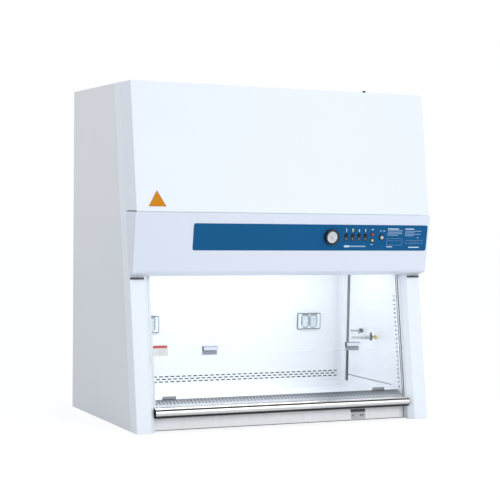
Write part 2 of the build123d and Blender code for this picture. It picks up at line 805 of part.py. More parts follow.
guide_wall = body_half - sheet
weight_x = guide_wall - guide_sheet - weight_gap - weight_side / 2
with BuildPart() as weight_guides:
    half_gap = weight_side / 2 + weight_gap
    for side in (-1, 1):
        with BuildSketch(Plane.XY.offset(guide_bottom)):
            with Locations((side * (guide_wall - (guide_sheet + guide_lip) / 2), pulley_y)):
                Rectangle(guide_sheet + guide_lip, 2 * (half_gap + guide_sheet))
            with Locations((side * (guide_wall - guide_sheet - guide_lip / 2), pulley_y)):
                Rectangle(guide_lip, 2 * half_gap, mode=Mode.SUBTRACT)
        extrude(amount=guide_top - guide_bottom)
write(weight_guides, "weight_guides")

with BuildPart() as counterweights:
    for side in (-1, 1):
        with BuildSketch(Plane.XY.offset(weight_bottom)):
            with Locations((side * weight_x, pulley_y)):
                Rectangle(weight_side, weight_side)
        extrude(amount=weight_length)
        with BuildSketch(Plane.XY.offset(weight_bottom + weight_length)):
            with Locations((side * weight_x, pulley_y)):
                Circle(4)
        extrude(amount=10)
write(counterweights, "counterweights")

with BuildPart() as pulley:
    half = pulley_width / 2
    with BuildSketch(Plane(origin=(-pulley_x, pulley_y, pulley_z), x_dir=(1, 0, 0), z_dir=(0, 0, 1))):
        with BuildLine():
            Polyline(
                (axle_radius + axle_gap, -half),
                (pulley_radius + 3, -half),
                (pulley_radius - 3, -1),
                (pulley_radius - 3, 1),
                (pulley_radius + 3, half),
                (axle_radius + axle_gap, half),
                close=True,
            )
        make_face()
    revolve(axis=Axis((-pulley_x, pulley_y, pulley_z), (0, 1, 0)))
write_pair(pulley, "pulley")

# ---- Control fascia: a shell open at the back, hung from the cover's lower edge
face_top = (crease_y - fascia_proud, fascia_top)
face_knee = (front_at(fascia_knee) - fascia_knee_reach, fascia_knee)
with BuildPart() as control_fascia:
    with BuildSketch(Plane.YZ.offset(-width / 2)):
        with BuildLine():
            Polyline(
                face_top,
                face_knee,
                (front_at(fascia_bottom) - fascia_rear_gap, fascia_bottom),
                (front_at(fascia_top) - fascia_rear_gap, fascia_top),
                close=True,
            )
        make_face()
    extrude(amount=width)
    knee_edge = control_fascia.edges().filter_by(Axis.X).sort_by(Axis.Z)[1]
    fillet(knee_edge, knee_radius)
    back_face = control_fascia.faces().sort_by(Axis.Y)[-1]
    offset(amount=-sheet, openings=back_face)
    fascia_tilt = atan2(face_knee[0] - face_top[0], face_top[1] - face_knee[1])
    face_y = face_top[0] + (fascia_top - control_z) * tan(fascia_tilt)
    control_plane = Plane(
        origin=(0, face_y, control_z),
        x_dir=(1, 0, 0),
        z_dir=(0, -cos(fascia_tilt), -sin(fascia_tilt)),
    )
    with BuildSketch(control_plane):
        with Locations(gauge_at):
            Circle(gauge_radius - 4)
        with Locations(*[(x, rocker_v) for x in rocker_xs]):
            Rectangle(rocker_size[0] + 1, rocker_size[1] + 1)
        with Locations(*[(lamp_x, v) for v in lamp_v]):
            Circle(lamp_radius - 2)
        with Locations(key_at):
            Circle(key_ring_radius - 3)
    extrude(amount=6, both=True, mode=Mode.SUBTRACT)
write(control_fascia, "control_fascia")

with BuildPart() as control_label:
    with BuildSketch(control_plane):
        label_left = label_from_left - fascia_end
        label_right = fascia_end - label_from_right
        with Locations(((label_left + label_right) / 2, (label_bottom + label_top) / 2)):
            RectangleRounded(label_right - label_left, label_top - label_bottom, label_corner)
        with Locations(gauge_at):
            Circle(gauge_radius - 4, mode=Mode.SUBTRACT)
        with Locations(*[(x, rocker_v) for x in rocker_xs]):
            Rectangle(rocker_size[0] + 1, rocker_size[1] + 1, mode=Mode.SUBTRACT)
        with Locations(*[(lamp_x, v) for v in lamp_v]):
            Circle(lamp_radius - 2, mode=Mode.SUBTRACT)
        with Locations(key_at):
            Circle(key_ring_radius - 3, mode=Mode.SUBTRACT)
    extrude(amount=label_thickness)
write(control_label, "control_label")

label_plane = control_plane.offset(label_thickness)
dial_floor = gauge_height - 6
with BuildPart() as gauge_case:
    with BuildSketch(label_plane):
        with Locations(gauge_at):
            Circle(gauge_radius)
    extrude(amount=gauge_height)
    fillet(gauge_case.edges().filter_by(GeomType.CIRCLE).sort_by(Axis.Y)[0], 3)
    with BuildSketch(label_plane.offset(dial_floor)):
        with Locations(gauge_at):
            Circle(dial_radius)
    extrude(amount=gauge_height, mode=Mode.SUBTRACT)
    with BuildSketch(label_plane):
        with Locations(gauge_at):
            Circle(gauge_radius - 4.5)
    extrude(amount=-32)
    with BuildSketch(label_plane.offset(dial_floor)):
        with Locations((gauge_at[0], gauge_at[1] - 4)):
            Circle(1.0)
    extrude(amount=1.8)
write(gauge_case, "gauge_case")

with BuildPart() as gauge_lens:
    with BuildSketch(label_plane.offset(gauge_height - 3)):
        with Locations(gauge_at):
            Circle(dial_radius)
    extrude(amount=1.5)
write(gauge_lens, "gauge_lens")

needle_angle = 140.0
with BuildPart() as gauge_needle:
    with BuildSketch(label_plane.offset(dial_floor + 0.4)):
        with Locations(Location((gauge_at[0], gauge_at[1] - 4, 0), (0, 0, needle_angle))):
            Circle(2.6)
            with Locations((9.5, 0)):
                Rectangle(19, 1.2)
        with Locations((gauge_at[0], gauge_at[1] - 4)):
            Circle(1.3, mode=Mode.SUBTRACT)
    extrude(amount=0.8)
write(gauge_needle, "gauge_needle")

with BuildPart() as rocker_bodies:
    with BuildSketch(label_plane):
        with Locations(*[(x, rocker_v) for x in rocker_xs]):
            Rectangle(rocker_size[0] + 2 * rocker_rim, rocker_size[1] + 2 * rocker_rim)
            Rectangle(rocker_size[0] - 1, rocker_size[1] - 1, mode=Mode.SUBTRACT)
    extrude(amount=1.2)
    with BuildSketch(label_plane):
        with Locations(*[(x, rocker_v) for x in rocker_xs]):
            Rectangle(rocker_size[0] + 0.6, rocker_size[1] + 0.6)
            Rectangle(rocker_size[0] - 1, rocker_size[1] - 1, mode=Mode.SUBTRACT)
    extrude(amount=-12)
    with BuildSketch(label_plane.offset(-12)):
        with Locations(*[(x, rocker_v) for x in rocker_xs]):
            Rectangle(rocker_size[0] + 0.6, rocker_size[1] + 0.6)
    extrude(amount=-4)
write(rocker_bodies, "rocker_bodies")

rocker_pivot = -5.0         # below the label's face
for index, x in enumerate(rocker_xs):
    side_on = Plane(
        origin=label_plane.from_local_coords((x + rocker_size[0] / 2 - 1, rocker_v, rocker_pivot)),
        x_dir=label_plane.z_dir.rotate(Axis.X, rocker_tilt),
        z_dir=(-1, 0, 0),
    )
    half = rocker_size[1] / 2 - 1.6
    with BuildPart() as rocker:
        with BuildSketch(side_on):
            with BuildLine():
                Polyline(
                    (-4, -3), (3, -half), (8.2, -half), (6.4, 0), (8.2, half), (3, half), (-4, 3), close=True
                )
            make_face()
        extrude(amount=rocker_size[0] - 2)
    write(rocker, f"rocker_{index + 1}")

with BuildPart() as indicator_lamps:
    for v in lamp_v:
        with BuildSketch(label_plane):
            with Locations((lamp_x, v)):
                Circle(lamp_radius)
        extrude(amount=2)
        with BuildSketch(label_plane.offset(2)):
            with Locations((lamp_x, v)):
                Circle(lamp_radius - 1.5)
        extrude(amount=4, taper=25)
        with BuildSketch(label_plane):
            with Locations((lamp_x, v)):
                Circle(lamp_radius - 2.2)
        extrude(amount=-18)
write(indicator_lamps, "indicator_lamps")

with BuildPart() as key_ring:
    with BuildSketch(label_plane):
        with Locations(key_at):
            Circle(key_ring_radius)
            Circle(key_core_radius + 0.35, mode=Mode.SUBTRACT)
    extrude(amount=4, taper=15)
    with BuildSketch(label_plane):
        with Locations(key_at):
            Circle(key_ring_radius - 3.2)
            Circle(key_core_radius + 0.35, mode=Mode.SUBTRACT)
    extrude(amount=-22)
write(key_ring, "key_ring")

with BuildPart() as key_core:
    with BuildSketch(label_plane.offset(-20)):
        with Locations(key_at):
            Circle(key_core_radius)
    extrude(amount=24.6)
    with BuildSketch(label_plane.offset(3)):
        with Locations(key_at):
            Rectangle(1.8, 9)
    extrude(amount=5, mode=Mode.SUBTRACT)
write(key_core, "key_core")

# ---- Catches under the ends of the fascia
with BuildPart() as latch_strips:
    for side in (-1, 1):
        with BuildSketch(leaning_plane(latch_z - 4)):
            with Locations((side * (face_inner + body_half) / 2, -2.5)):
                Rectangle(body_half - face_inner - 4, 5)
        extrude(amount=lean_length(latch_z - 4, latch_z + 4), dir=lean_dir)
write(latch_strips, "latch_strips")

with BuildPart() as latch_knob:
    knob_plane = Plane(
        origin=(0, front_at(latch_z) - 5, latch_z), x_dir=(1, 0, 0), z_dir=front_normal
    ).offset(0.35)
    with BuildSketch(knob_plane):
        with Locations((-latch_x, 0)):
            Circle(4)
    extrude(amount=4)
    with BuildSketch(knob_plane.offset(4)):
        with Locations((-latch_x, 0)):
            Rectangle(7, 2.4)
    extrude(amount=3)
write_pair(latch_knob, "latch_knob")

# ---- Electrical outlets on the back wall
outlet_face_y = back_wall_y - outlet_size[2]
hinge_line_z = outlet_z + flap_size[1] / 2 - 1
with BuildPart() as outlets:
    for side in (-1, 1):
        with BuildSketch(Plane.XZ.offset(-back_wall_y)):
            with Locations((side * outlet_x, outlet_z)):
                RectangleRounded(outlet_size[0], outlet_size[1], 6)
        extrude(amount=outlet_size[2])
        with BuildSketch(Plane.XZ.offset(-outlet_face_y)):
            for spread in (-flap_spread, flap_spread):
                with Locations((side * outlet_x + spread, outlet_z - 2)):
                    Rectangle(34, 36)
        extrude(amount=-2.5, mode=Mode.SUBTRACT)
        # Hinge ears on either side of each flap's knuckle
        with BuildSketch(Plane.XZ.offset(-outlet_face_y)):
            for spread in (-flap_spread, flap_spread):
                for ear in (-1, 1):
                    ear_x = side * outlet_x + spread + ear * (flap_size[0] / 2 - 1.8)
                    with Locations((ear_x, hinge_line_z)):
                        Rectangle(3.6, 6)
        extrude(amount=5)
write(outlets, "outlets")

flap_y = outlet_face_y - flap_gap
for side, side_name in ((-1, "left"), (1, "right")):
    for spread, spread_name in ((-flap_spread, "a"), (flap_spread, "b")):
        flap_x = side * outlet_x + spread
        with BuildPart() as flap:
            with BuildSketch(Plane.XZ.offset(-flap_y)):
                with Locations((flap_x, outlet_z - 3.5)):
                    plate = Rectangle(flap_size[0], flap_size[1] - 7)
                fillet(plate.vertices().group_by(Axis.Y)[0], flap_size[0] / 2 - 2)
            extrude(amount=flap_size[2])
            with BuildSketch(Plane.XZ.offset(-(flap_y - flap_size[2]))):
                with Locations((flap_x, outlet_z - 6)):
                    dome = Rectangle(flap_size[0] - 8, flap_size[1] - 17)
                fillet(dome.vertices().group_by(Axis.Y)[0], flap_size[0] / 2 - 6)
            extrude(amount=flap_dome, taper=25)
            knuckle_half = flap_size[0] / 2 - 4.0
            with BuildSketch(Plane.YZ.offset(flap_x - knuckle_half)):
                with Locations((outlet_face_y - 2.7, hinge_line_z)):
                    Circle(2.2)
                with Locations((outlet_face_y - 2.0, hinge_line_z - 4)):
                    Rectangle(2, 6)
            extrude(amount=2 * knuckle_half)
        write(flap, f"flap_{side_name}_{spread_name}")

# ---- Service taps on the right wall: wall flange, body and serrated hose nozzle
def turned_piece(points, centre):
    """Piece turned about an axis that points out of the right wall."""
    y, z = centre
    with BuildPart() as turned:
        with BuildSketch(Plane(origin=(chamber_half, y, z), x_dir=(-1, 0, 0), z_dir=(0, 1, 0))):
            with BuildLine():
                Polyline((points[0][0], 0), *points, (points[-1][0], 0), close=True)
            make_face()
        revolve(axis=Axis((chamber_half, y, z), (-1, 0, 0)))
    return turned.part


def barbs(start, count, pitch, low, high):
    """Outline of a serrated nozzle, one tooth after another."""
    outline = []
    for i in range(count):
        outline += [(start + i * pitch, high), (start + (i + 1) * pitch, low)]
    return outline


with BuildPart() as tap_front:
    steps = [(0, 10), (3, 10), (12, 6.5), (18, 6.5), (18, 5), (34, 5), (34, 8.5), (62, 8.5), (66, 6), (84, 6)]
    add(turned_piece(steps + barbs(84, 5, 8, 3.6, 5.2), tap_front_at))
    with BuildSketch(Plane.XZ.offset(-(tap_front_at[0] - 8))):
        with Locations((chamber_half - 50, tap_front_at[1])):
            RegularPolygon(8, 6)
    extrude(amount=-16)
write(tap_front, "tap_front")

with BuildPart() as tap_rear:
    steps = [(0, 8), (4, 8), (4, 4), (18, 4), (18, 6.5), (24, 6.5), (24, 4.6)]
    add(turned_piece(steps + barbs(26, 5, 7.4, 3.2, 4.6), tap_rear_at))
    with BuildSketch(Plane.XY.offset(tap_rear_at[1])):
        with Locations((chamber_half - 21, tap_rear_at[0])):
            Circle(2.6)
    extrude(amount=-15)
write(tap_rear, "tap_rear")

lever_x = chamber_half - 26
with BuildPart() as tap_front_handle:
    with BuildSketch(Plane(origin=(lever_x - 4, *tap_front_at), x_dir=(0, 1, 0), z_dir=(1, 0, 0))):
        with BuildLine():
            Polyline((-3, 16), (3, 16), (7.5, 0), (3, -15), (-3, -15), (-7.5, 0), close=True)
        make_face()
        Circle(5.35, mode=Mode.SUBTRACT)
    extrude(amount=8)
    with Locations((lever_x, tap_front_at[0], tap_front_at[1] + 19)):
        Sphere(4)
write(tap_front_handle, "tap_front_handle")

with BuildPart() as tap_rear_handle:
    with BuildSketch(Plane.YZ.offset(chamber_half - 17.6)):
        with Locations(tap_rear_at):
            Circle(10)
            with PolarLocations(11.5, 6):
                Circle(3.2, mode=Mode.SUBTRACT)
            Circle(4.35, mode=Mode.SUBTRACT)
    extrude(amount=13.2)
write(tap_rear_handle, "tap_rear_handle")
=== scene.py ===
# %% [markdown]
# # Biological safety cabinet
# A white steel cabinet with a leaning front: a hinged control fascia above, a glass sash that slides
# behind it, and a bright stainless chamber over a perforated sill. The solid pieces come finished in
# shape from the frame, so this script gives them their surfaces, adds the flat print and stickers,
# and sets the studio. Everything is in metres in the frame's own axes: +X right, +Y back, +Z up.

# %% Load the frame
import json
from math import cos, radians, sin, tan

import bmesh
import bpy
from mathutils import Matrix, Vector


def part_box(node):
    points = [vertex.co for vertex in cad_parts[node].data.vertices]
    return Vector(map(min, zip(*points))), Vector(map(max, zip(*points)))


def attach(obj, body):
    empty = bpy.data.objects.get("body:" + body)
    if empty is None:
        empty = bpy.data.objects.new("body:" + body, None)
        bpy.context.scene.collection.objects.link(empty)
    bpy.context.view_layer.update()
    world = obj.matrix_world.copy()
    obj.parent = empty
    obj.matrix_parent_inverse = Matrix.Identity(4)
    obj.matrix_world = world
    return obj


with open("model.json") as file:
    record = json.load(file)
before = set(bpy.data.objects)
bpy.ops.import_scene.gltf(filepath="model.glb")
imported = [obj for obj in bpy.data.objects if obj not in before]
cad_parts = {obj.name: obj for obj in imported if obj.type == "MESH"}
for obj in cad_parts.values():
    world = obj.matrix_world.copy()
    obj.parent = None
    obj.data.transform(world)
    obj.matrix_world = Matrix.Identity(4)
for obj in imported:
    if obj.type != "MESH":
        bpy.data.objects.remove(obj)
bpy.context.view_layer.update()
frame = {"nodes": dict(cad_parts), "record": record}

# %% [markdown]
# ## The camera
# A picture with nearly upright verticals, taken from the left and a little below the middle of the
# cabinet's height, comes from a long lens far away. A camera could be turned by hand until the edges
# agree, but a direction written as a yaw, a pitch and a small roll lets each be corrected alone. The
# lens is shifted sideways and up, as with a technical camera, so the cabinet sits high in the picture
# while its sides stay almost parallel.

# %% Camera
eye = Vector((-2.5745, -5.5166, 0.901))
yaw, pitch, roll = radians(24.31), radians(-5.045), radians(0.8975)
picture_width, focal_length = 500, 1399.8  # both counted in pixels
sensor_width = 36  # millimetres
ahead = Vector((sin(yaw) * cos(pitch), cos(yaw) * cos(pitch), sin(pitch)))
level = Vector((cos(yaw), -sin(yaw), 0))
upright = level.cross(ahead)
across = cos(roll) * level + sin(roll) * upright
upward = cos(roll) * upright - sin(roll) * level
camera_data = bpy.data.cameras.new("studio_camera")
camera_data.lens = sensor_width * focal_length / picture_width
camera_data.sensor_width = sensor_width
camera_data.shift_x, camera_data.shift_y = 0.0377, 0.1588
camera = bpy.data.objects.new("studio_camera", camera_data)
bpy.context.collection.objects.link(camera)
camera.matrix_world = Matrix.Translation(eye) @ Matrix((across, upward, -ahead)).transposed().to_4x4()
bpy.context.scene.camera = camera
print("lens", round(camera_data.lens, 1), "mm from", [round(v, 2) for v in eye])

# %% [markdown]
# ## Writing materials as sums
# A surface is described best as arithmetic: roughness is a base value plus a little grain. Each step
# could be drawn as a Math node, but a dozen of them hide what they work out. The small class below
# lets a node's output be added, multiplied and compared in plain Python, and every operator adds the
# Math node that it stands for. A comparison gives a mask, which is 1 where it holds and 0 elsewhere,
# so * means "and", | means "or", and 1 - mask means "not".

# %% Sums on node outputs
class Wire:
    """A number flowing out of a node. Sums on it become Math nodes."""

    def __init__(self, nodes, socket):
        self.nodes = nodes
        self.socket = socket

    def math(self, operation, *values):
        return self.nodes.node("ShaderNodeMath", {"operation": operation}, dict(enumerate(values)))

    def __add__(self, other): return self.math("ADD", self, other)
    def __sub__(self, other): return self.math("SUBTRACT", self, other)
    def __rsub__(self, other): return self.math("SUBTRACT", other, self)
    def __mul__(self, other): return self.math("MULTIPLY", self, other)
    def __truediv__(self, other): return self.math("DIVIDE", self, other)
    def __mod__(self, other): return self.math("MODULO", self, other)
    def __pow__(self, other): return self.math("POWER", self, other)
    def __gt__(self, other): return self.math("GREATER_THAN", self, other)
    def __lt__(self, other): return self.math("LESS_THAN", self, other)
    def __or__(self, other): return self.math("MAXIMUM", self, other)
    def __abs__(self): return self.math("ABSOLUTE", self)
    __radd__, __rmul__ = __add__, __mul__


print("a wire takes + - * / % ** > < | and abs()")

# %% [markdown]
# ## One method for every node
# A material is a tree of nodes, and each node wants the same three things: its type, its settings and
# what goes into its sockets. So one method makes them all. The settings, such as a Math node's
# operation, come first, because they can change which sockets there are. Finish adds what a material
# with a Principled shader needs on top: the place on the surface, grain, mixed colours and relief.

# %% Nodes and finishes
class Nodes:
    """The node tree of a material or of the world."""

    def __init__(self, owner):
        owner.use_nodes = True
        self.tree = owner.node_tree

    def node(self, kind, settings=None, inputs=None, output=0):
        """Any node: its settings first, then the values or wires of its sockets."""
        made = self.tree.nodes.new(kind)
        for key, value in (settings or {}).items():
            setattr(made, key, value)
        for key, value in (inputs or {}).items():
            if isinstance(value, Wire):
                self.tree.links.new(value.socket, made.inputs[key])
            else:
                made.inputs[key].default_value = value
        return Wire(self, made.outputs[output]) if made.outputs else None

    def ray(self, kind):
        """1 for rays of one kind, such as those that the camera sees."""
        return self.node("ShaderNodeLightPath", output=kind)


class Finish(Nodes):
    """One material with a single Principled shader."""

    def __init__(self, name, metallic=0.0, roughness=0.5, **constants):
        self.material = bpy.data.materials.new(name)
        super().__init__(self.material)
        self.shader = self.tree.nodes["Principled BSDF"]
        constants.update(Metallic=metallic, Roughness=roughness)
        for socket, value in constants.items():
            self.shader.inputs[socket.replace("_", " ")].default_value = value

    def place(self):
        """The surface's own place on the cabinet, in metres."""
        return self.node("ShaderNodeTexCoord", output="Object")

    def axis(self, letter):
        """That place along X, Y or Z alone."""
        return self.node("ShaderNodeSeparateXYZ", inputs={0: self.place()}, output=letter)

    def noise(self, scale, detail=3.0, where=None):
        """Soft random grain, about 0.5 on average."""
        inputs = {"Vector": where or self.place(), "Scale": scale, "Detail": detail}
        return self.node("ShaderNodeTexNoise", inputs=inputs)

    def mix(self, share, first, second):
        """A colour between two, by a share from 0 to 1."""
        return self.node("ShaderNodeMix", {"data_type": "RGBA"}, {0: share, 6: first, 7: second}, output=2)

    def feed(self, socket, wire):
        """Lead a wire to the shader."""
        self.tree.links.new(wire.socket, self.shader.inputs[socket])

    def relief(self, height, distance, strength=1.0):
        """Small bumps in the surface, with their height in metres."""
        inputs = {"Height": height, "Distance": distance, "Strength": strength}
        self.feed("Normal", self.node("ShaderNodeBump", inputs=inputs))


print("a finish can give", [name for name in vars(Finish) if not name.startswith("_")])

# %% [markdown]
# ## Colours
# A paint chart or a screen gives a colour in steps from 0 to 255 that are spaced for the eye. A shader
# counts light instead, so every colour here is written as on a screen and turned into light at once.

# %% Screen colours to light
def colour(red, green, blue):
    """A colour as seen on a screen, 0 to 255, in the linear values that a shader wants."""
    def linear(value):
        value = value / 255
        return value / 12.92 if value <= 0.04045 else ((value + 0.055) / 1.055) ** 2.4
    return (linear(red), linear(green), linear(blue), 1.0)


print("a screen's middle grey is", round(colour(128, 128, 128)[0], 3), "of full light")

# %% [markdown]
# ## Powder-coated steel
# The body, posts, cover and fascia wear the same hard white coat. Up close such a coat has a faint
# orange peel, and its gloss wanders a little over a large panel. A painted image would have to be
# unfolded onto every panel, so both come from noise that reads the place on the cabinet, and nothing
# shifts when a piece moves. A second, very slow noise shades the colour by a hair, which keeps large
# flat panels from looking like cut paper. Where the body's sheets look inwards, a dark painted shade
# stands for the little light that reaches them, and a mask on the place finds those faces.

# %% Powder coat
skin = 0.0008  # a face less deep than this still counts as the outside
body_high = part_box("rear_panel")[1]
panel_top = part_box("top_panel")[1][2]
# Dark painted shade for faces that look into the body and behind the liner, where little light reaches.
inner_painted_shade = colour(74, 77, 80)


def powder_coat(name, base, shade, inner_shade=None):
    """Hard enamel on steel sheet, in one colour with a slow shade towards a second.

    inner_shade, when given, is a dark painted shade for the faces that look into the body.
    """
    gloss, peel = 0.36, 0.00002
    coat = Finish(name, roughness=gloss, Coat_Weight=0.12, Coat_Roughness=0.2)
    outer = coat.mix(coat.noise(1.7, detail=2.0), base, shade)
    if inner_shade:
        hidden = (abs(coat.axis("X")) < body_high[0] - skin) * (coat.axis("Y") < body_high[1] - skin)
        outer = coat.mix(hidden * (coat.axis("Z") < panel_top - skin), outer, inner_shade)
    coat.feed("Base Color", outer)
    coat.feed("Roughness", gloss + (coat.noise(6.0) - 0.5) * 0.12)
    coat.relief(coat.noise(420.0, detail=2.0), peel)
    return coat.material


# One paint in four copies: their small differences in tone are painted light and shade, the cover and posts a
# touch lighter and bluer, the fascia, which faces down, and the body's sides a touch darker.
body_coat_shaded = powder_coat("body_coat_shaded", colour(234, 237, 240), colour(228, 231, 236), inner_shade=inner_painted_shade)
cover_coat_lit = powder_coat("cover_coat_lit", colour(238, 243, 250), colour(235, 241, 249))
fascia_coat_shaded = powder_coat("fascia_coat_shaded", colour(231, 236, 247), colour(227, 233, 245))
post_coat_lit = powder_coat("post_coat_lit", colour(241, 246, 252), colour(237, 244, 251))
print("coats:", body_coat_shaded.name, cover_coat_lit.name, fascia_coat_shaded.name, post_coat_lit.name)

# %% [markdown]
# ## Stainless sheet
# Rolled stainless is brushed in one direction: long fine scratches that catch the light as streaks.
# An anisotropic shader can imitate them, but it needs a direction on every face and doesn't survive
# every export. A noise that is stretched along the brushing and squeezed across it gives both the
# scratches, as bumps, and the streaks, as changes of roughness and tone.

# %% Brushed sheet
def brushed_sheet(name, base, streak, along, roughness=0.34, metallic=0.75, shade=None):
    """Stainless sheet with its brushing along one axis.

    shade, when given, takes the finish and its colour and hands back a changed colour.
    """
    steel = Finish(name, metallic=metallic, roughness=roughness)

    def brushing(over, lengthwise, detail):
        scale = [lengthwise if axis == along else over for axis in "xyz"]
        where = steel.node("ShaderNodeMapping", inputs={"Vector": steel.place(), "Scale": scale})
        return steel.noise(1.0, detail, where)

    scratches, streaks = brushing(900.0, 6.0, 2.0), brushing(70.0, 1.2, 3.0)
    tone = steel.mix(streaks, base, streak)
    steel.feed("Base Color", shade(steel, tone) if shade else tone)
    steel.feed("Roughness", roughness + (scratches - 0.5) * 0.22)
    steel.relief(scratches, 0.00001, 0.6)
    return steel.material


zinc_sheet = brushed_sheet("zinc_sheet", colour(198, 202, 206), colour(178, 184, 190), "x", 0.42, 0.7)
print("first sheet:", zinc_sheet.name)

# %% [markdown]
# ## The chamber's liner
# The liner is bright sheet with slots, and behind it is a closed air space that no light reaches. Real
# darkness there would take many bounces of light to work out, so the rear faces of the liner get a
# dark painted shade, and the slots look dark from the first bounce.

# %% Liner
liner_low, liner_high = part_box("inner_back_wall")


def unlit_back(steel, tone):
    """The liner's rear faces look into the closed air space and get a dark painted shade."""
    behind = (steel.axis("Y") > liner_low[1] + skin) | (abs(steel.axis("X")) > liner_high[0] + skin)
    return steel.mix(behind, tone, inner_painted_shade)


liner_steel = brushed_sheet("liner_steel", colour(246, 248, 250), colour(237, 241, 246), "x", metallic=0.3,
                            shade=unlit_back)
print("liner bright in front of Y", round(liner_low[1], 4), "and within X", round(liner_high[0], 4))

# %% [markdown]
# ## Sill and grille
# The sill panel is plain sheet. The perforated grille behind it slopes down into the chamber, and its
# holes are too fine to trap much light in a small picture, so it would look evenly bright. A mask
# that runs from its front edge to its rear one paints shade that deepens towards the rear. The two
# tabs that stand up from it keep one tone of their own.

# %% Sill and grille
grille_low, grille_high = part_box("front_grille")
tab_rise = 0.0105


def grille_painted_shade(steel, tone):
    """Painted shade darkens the perforated sheet from its front edge to its rear one; its tabs don't."""
    depth = (steel.axis("Y") - grille_low[1]) / (grille_high[1] - grille_low[1])
    # The dark rear tone is painted shade.
    shaded_to_rear = steel.mix(depth ** 0.8, tone, colour(80, 86, 92))
    return steel.mix(steel.axis("Z") > grille_high[2] - tab_rise, shaded_to_rear, colour(150, 155, 160))


sill_steel = brushed_sheet("sill_steel", colour(252, 252, 253), colour(236, 235, 238), "z", metallic=0.1)
grille_steel = brushed_sheet("grille_steel", colour(182, 185, 188), colour(164, 168, 172), "x",
                             shade=grille_painted_shade)
print("grille fades over", round(grille_high[1] - grille_low[1], 3), "m")

# %% [markdown]
# ## The rolled nose
# The sill ends in a polished half-round that mirrors the room in bands along its length: a thin dark
# line high up and a dark foot. Dark cards in the studio would give real reflections, but they would
# dim everything else. So these bands are painted reflections: tones of the metal by height, which
# stay where they are when the view turns.

# %% Nose
nose_low, nose_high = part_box("airfoil_nose")
line_height, line_edge = 0.8, 15  # as a share of the nose's height, and how sharply it fades
foot_height, foot_edge = 0.36, 9


def painted_reflection_bands(steel, tone):
    """Painted reflections: a thin dark line high on the half-round and a dark foot below, both with soft
    edges.
    """
    height = (steel.axis("Z") - nose_low[2]) / (nose_high[2] - nose_low[2])
    reflected_dark_line = 1.5 - abs(height - line_height) * line_edge
    foot = (foot_height - height) * foot_edge
    return steel.mix(foot | reflected_dark_line, tone, colour(52, 52, 54))


nose_steel = brushed_sheet("nose_steel", colour(234, 232, 229), colour(212, 211, 210), "x", 0.2, 0.8,
                           shade=painted_reflection_bands)
print("nose from", round(nose_low[2], 4), "to", round(nose_high[2], 4), "m up")

# %% [markdown]
# ## Plastics, rubber, iron and paper
# The small parts each have a moulded, cast or woven surface of their own. Written out one by one,
# their materials would say the same thing a dozen times, so they share one recipe: a base colour that
# drifts to a darker one, a grain that breaks up the gloss, and a fine relief.

# %% Moulded, cast and paper finishes
def moulding(name, base, roughness=0.4, grain=260.0, depth=0.00002, metallic=0.0, drift=0.9, shade=None,
             **constants):
    """A small part's surface, drifting between the colour and a slightly darker one."""
    part = Finish(name, metallic=metallic, roughness=roughness, **constants)
    darker = tuple(value * drift for value in base[:3]) + (1.0,)
    tone = part.mix(part.noise(30.0), base, darker)
    part.feed("Base Color", shade(part, tone) if shade else tone)
    part.feed("Roughness", roughness + (part.noise(grain) - 0.5) * 0.16)
    part.relief(part.noise(grain * 3), depth)
    return part.material


black_moulding = moulding("black_moulding", colour(26, 28, 31), 0.42)
latch_moulding = moulding("latch_moulding", colour(58, 62, 68), 0.4)
seal_rubber = moulding("seal_rubber", colour(92, 106, 106), 0.62, 120.0, 0.00005)
lever_moulding = moulding("lever_moulding", colour(52, 58, 62), 0.35)
gauge_shell = moulding("gauge_shell", colour(16, 17, 20), 0.32)
cast_iron = moulding("cast_iron", colour(62, 63, 66), 0.7, 60.0, 0.0004)
filter_paper = moulding("filter_paper", colour(236, 234, 226), 0.85, 90.0, 0.0002)
turned_metal = moulding("turned_metal", colour(206, 208, 212), 0.18, metallic=1.0, depth=0.000005)
pointer_red = moulding("pointer_red", colour(196, 44, 34), 0.3)
print("grained:", black_moulding.name, seal_rubber.name, cast_iron.name, filter_paper.name)

# %% [markdown]
# ## Outlet plates
# Each outlet's pale plate has a grey-green line round it. A raised frame would be too heavy, so the
# line is a mask: the distance from the plate's middle, sideways and in height. Taking the size of X
# first folds the left outlet onto the right one, and one mask serves both.

# %% Outlet plates
outlet_low, outlet_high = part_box("outlets")
outlet_half, outlet_line = 0.059, 0.0034
outlet_x = outlet_high[0] - outlet_half
outlet_z, outlet_tall = (outlet_low[2] + outlet_high[2]) / 2, (outlet_high[2] - outlet_low[2]) / 2


def plate_border(part, tone):
    """A grey-green line round the outlet's pale plate."""
    sides = abs(abs(part.axis("X")) - outlet_x) > outlet_half - outlet_line
    ends = abs(part.axis("Z") - outlet_z) > outlet_tall - outlet_line * 1.3
    return part.mix(sides | ends, tone, colour(84, 98, 98))


outlet_moulding = moulding("outlet_moulding", colour(238, 247, 252), 0.35, shade=plate_border)
print("outlet plates", round(2000 * outlet_half), "x", round(2000 * outlet_tall), "mm")

# %% [markdown]
# ## Rocker switches
# A rocker is one black moulding with a lighter lower half and a small pale mark on it. The four stand
# in a row at an even pitch, so a remainder of X by that pitch puts the same marks on each of them.

# %% Rocker switches
rocker_first, rocker_pitch, rocker_z = 0.269, 0.0303, 0.7778
mark_drop = 0.0068


def rocker_halves(part, tone):
    """The upper half is black; the lower one is lighter and carries a small pale mark."""
    z = part.axis("Z")
    offset = (part.axis("X") - rocker_first + rocker_pitch / 2) % rocker_pitch
    mark = (abs(offset - rocker_pitch / 2) < 0.0013) * (abs(z - rocker_z + mark_drop) < 0.0024)
    lower = part.mix(z < rocker_z - 0.001, tone, colour(66, 74, 78))
    return part.mix(mark, lower, colour(168, 172, 160))


